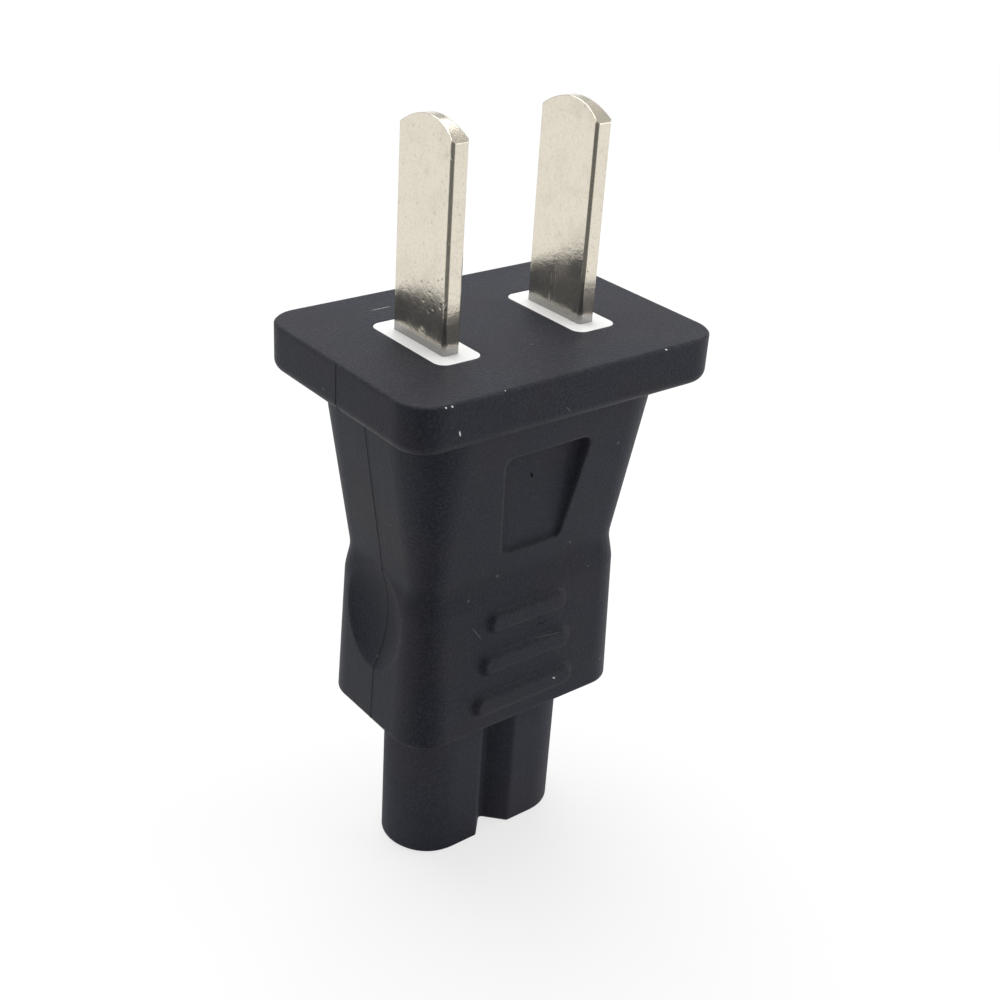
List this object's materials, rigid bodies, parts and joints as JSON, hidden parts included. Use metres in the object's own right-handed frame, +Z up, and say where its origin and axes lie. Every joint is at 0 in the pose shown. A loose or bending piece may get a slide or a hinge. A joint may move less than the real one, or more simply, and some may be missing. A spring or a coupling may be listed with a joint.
{
  "type": "plug adapter",
  "caption": "Moulded adapter with flat mains blades on a flange above and a figure-8 appliance connector below.",
  "frame": {"origin": "centre of the connector's end face, on which the adapter stands", "axes": "+Z up towards the blades, +X from the left blade to the right blade, -Y towards the front"},
  "size_m": [0.0286, 0.02, 0.0624],
  "materials": {
    "moulding": "fine grain",
    "core": "fine grain",
    "carrier": "smooth",
    "blade": "bright nickel plate",
    "sleeve": "bare",
    "conductor": "stranded copper",
    "insulation": "smooth"
  },
  "bodies": {
    "root": {"moulded_body": "moulding", "blade_carrier": "carrier", "connector_core": "core", "blade_left": "blade", "blade_right": "blade", "contact_sleeve_left": "sleeve", "contact_sleeve_right": "sleeve", "lead_conductor_left": "conductor", "lead_conductor_right": "conductor", "lead_insulation_left": "insulation", "lead_insulation_right": "insulation"}
  },
  "joints": []
}
